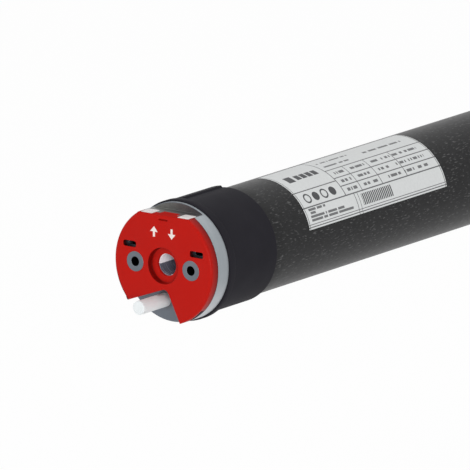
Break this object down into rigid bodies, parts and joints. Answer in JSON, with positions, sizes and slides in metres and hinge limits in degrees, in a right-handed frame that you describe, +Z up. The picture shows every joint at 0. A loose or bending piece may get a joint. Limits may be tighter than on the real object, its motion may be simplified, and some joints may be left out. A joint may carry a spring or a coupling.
{
  "type": "tubular roller blind motor",
  "caption": "Slim dark tube motor with a red bracket head, a black drive crown, push-buttons for the limits, a short white supply cable and a flatted output shaft.",
  "frame": {"origin": "middle of the head's face, between the two bracket screw holes", "axes": "+Y along the motor from the head to the output shaft, +Z up through the top flat, +X right as seen from the head"},
  "size_m": [0.052, 0.4374, 0.052],
  "materials": {
    "red_cover": "glossy",
    "die_cast": "satin",
    "bright_steel": "polished",
    "machined_steel": "satin",
    "black_crown": "matte",
    "tube_paint": "semi-gloss",
    "label_film": "matte",
    "white_plastic": "satin",
    "cable_sheath": "matte",
    "grey_rubber": "matte",
    "board_laminate": "satin",
    "relay_blue": "satin",
    "copper_wire": "satin",
    "nylon": "satin",
    "core_iron": "dull",
    "friction_lining": "matte",
    "bronze": "satin"
  },
  "bodies": {
    "housing": {"head_cover": "red_cover", "head_body": "die_cast", "bracket_socket": "bright_steel", "button_spring_left": "machined_steel", "button_spring_right": "machined_steel", "button_board": "board_laminate", "button_switches": "black_crown", "supply_cable": "cable_sheath", "cable_grommet": "grey_rubber", "cable_plug": "black_crown", "power_leads": "copper_wire", "motor_tube": "tube_paint", "rating_label": "label_film", "head_rivets": "machined_steel", "electronics_cradle": "nylon", "control_board": "board_laminate", "switching_relays": "relay_blue", "supply_transformer": "black_crown", "radio_module": "machined_steel", "board_header": "nylon", "run_capacitor": "white_plastic", "capacitor_rings": "grey_rubber", "front_shield": "die_cast", "rear_shield": "die_cast", "rotor_bearings": "machined_steel", "stator_core": "core_iron", "stator_winding": "copper_wire", "brake_yoke": "core_iron", "brake_coil": "copper_wire", "brake_spring": "machined_steel", "brake_backplate": "core_iron", "ring_gear": "nylon", "output_bush": "bronze", "end_cap": "die_cast", "end_rivets": "machined_steel"},
    "crown": {"drive_crown": "black_crown"},
    "counter": {"encoder_pinion": "nylon", "encoder_magnet": "core_iron"},
    "button_left": {"limit_button_left": "white_plastic"},
    "button_right": {"limit_button_right": "white_plastic"},
    "rotor": {"rotor_core": "core_iron", "rotor_shaft": "machined_steel", "sun_gear": "machined_steel", "brake_disc": "friction_lining"},
    "brake": {"brake_armature": "core_iron"},
    "carrier_1": {"stage_1_carrier": "core_iron"},
    "carrier_2": {"stage_2_carrier": "core_iron"},
    "output": {"output_carrier": "core_iron", "output_shaft": "machined_steel", "output_circlip": "machined_steel"},
    "planet_1_1": {"stage_1_planet_1": "bronze"},
    "planet_1_2": {"stage_1_planet_2": "bronze"},
    "planet_1_3": {"stage_1_planet_3": "bronze"},
    "planet_2_1": {"stage_2_planet_1": "bronze"},
    "planet_2_2": {"stage_2_planet_2": "bronze"},
    "planet_2_3": {"stage_2_planet_3": "bronze"},
    "planet_3_1": {"stage_3_planet_1": "bronze"},
    "planet_3_2": {"stage_3_planet_2": "bronze"},
    "planet_3_3": {"stage_3_planet_3": "bronze"}
  },
  "joints": [
    {"name": "rotor_spin", "type": "hinge", "parent": "housing", "child": "rotor", "pos_m": [0, 0.2593, 0], "axis": [0, -1, 0], "continuous": true},
    {"name": "carrier_1_spin", "type": "hinge", "parent": "housing", "child": "carrier_1", "pos_m": [0, 0.3433, 0], "axis": [0, -1, 0], "continuous": true},
    {"name": "carrier_2_spin", "type": "hinge", "parent": "housing", "child": "carrier_2", "pos_m": [0, 0.3573, 0], "axis": [0, -1, 0], "continuous": true},
    {"name": "output_spin", "type": "hinge", "parent": "housing", "child": "output", "pos_m": [0, 0.4023, 0], "axis": [0, -1, 0], "continuous": true},
    {"name": "crown_spin", "type": "hinge", "parent": "housing", "child": "crown", "pos_m": [0, 0.029, 0], "axis": [0, -1, 0], "continuous": true},
    {"name": "planet_1_1_spin", "type": "hinge", "parent": "carrier_1", "child": "planet_1_1", "pos_m": [0.01163, 0.3372, 0], "axis": [0, -1, 0], "continuous": true},
    {"name": "planet_1_2_spin", "type": "hinge", "parent": "carrier_1", "child": "planet_1_2", "pos_m": [-0.00582, 0.3372, 0.01008], "axis": [0, -1, 0], "continuous": true},
    {"name": "planet_1_3_spin", "type": "hinge", "parent": "carrier_1", "child": "planet_1_3", "pos_m": [-0.00582, 0.3372, -0.01008], "axis": [0, -1, 0], "continuous": true},
    {"name": "planet_2_1_spin", "type": "hinge", "parent": "carrier_2", "child": "planet_2_1", "pos_m": [0.01163, 0.3491, 0], "axis": [0, -1, 0], "continuous": true},
    {"name": "planet_2_2_spin", "type": "hinge", "parent": "carrier_2", "child": "planet_2_2", "pos_m": [-0.00582, 0.3491, 0.01008], "axis": [0, -1, 0], "continuous": true},
    {"name": "planet_2_3_spin", "type": "hinge", "parent": "carrier_2", "child": "planet_2_3", "pos_m": [-0.00582, 0.3491, -0.01008], "axis": [0, -1, 0], "continuous": true},
    {"name": "planet_3_1_spin", "type": "hinge", "parent": "output", "child": "planet_3_1", "pos_m": [0.01163, 0.3635, 0], "axis": [0, -1, 0], "continuous": true},
    {"name": "planet_3_2_spin", "type": "hinge", "parent": "output", "child": "planet_3_2", "pos_m": [-0.00582, 0.3635, 0.01008], "axis": [0, -1, 0], "continuous": true},
    {"name": "planet_3_3_spin", "type": "hinge", "parent": "output", "child": "planet_3_3", "pos_m": [-0.00582, 0.3635, -0.01008], "axis": [0, -1, 0], "continuous": true},
    {"name": "counter_spin", "type": "hinge", "parent": "housing", "child": "counter", "pos_m": [-0.01785, 0.035, 0.0065], "axis": [0, -1, 0], "continuous": true},
    {"name": "button_left_press", "type": "slide", "parent": "housing", "child": "button_left", "axis": [0, 0, -1], "range_m": [0, 0.001], "stiffness_N_per_m": 600, "springref_m": -0.001, "deforming": ["button_spring_left"]},
    {"name": "button_right_press", "type": "slide", "parent": "housing", "child": "button_right", "axis": [0, 0, -1], "range_m": [0, 0.001], "stiffness_N_per_m": 600, "springref_m": -0.001, "deforming": ["button_spring_right"]},
    {"name": "brake_release", "type": "slide", "parent": "housing", "child": "brake", "axis": [0, -1, 0], "range_m": [0, 0.0006], "stiffness_N_per_m": 4000, "springref_m": -0.003, "deforming": ["brake_spring"]}
  ],
  "couplings": [
    {"joint": "carrier_1_spin", "follows": "rotor_spin", "ratio": 0.18182},
    {"joint": "carrier_2_spin", "follows": "rotor_spin", "ratio": 0.033058},
    {"joint": "output_spin", "follows": "rotor_spin", "ratio": 0.0060105},
    {"joint": "planet_1_1_spin", "follows": "rotor_spin", "ratio": -0.46753},
    {"joint": "planet_1_2_spin", "follows": "rotor_spin", "ratio": -0.46753},
    {"joint": "planet_1_3_spin", "follows": "rotor_spin", "ratio": -0.46753},
    {"joint": "planet_2_1_spin", "follows": "rotor_spin", "ratio": -0.085006},
    {"joint": "planet_2_2_spin", "follows": "rotor_spin", "ratio": -0.085006},
    {"joint": "planet_2_3_spin", "follows": "rotor_spin", "ratio": -0.085006},
    {"joint": "planet_3_1_spin", "follows": "rotor_spin", "ratio": -0.015456},
    {"joint": "planet_3_2_spin", "follows": "rotor_spin", "ratio": -0.015456},
    {"joint": "planet_3_3_spin", "follows": "rotor_spin", "ratio": -0.015456},
    {"joint": "counter_spin", "follows": "crown_spin", "ratio": 5.75}
  ]
}
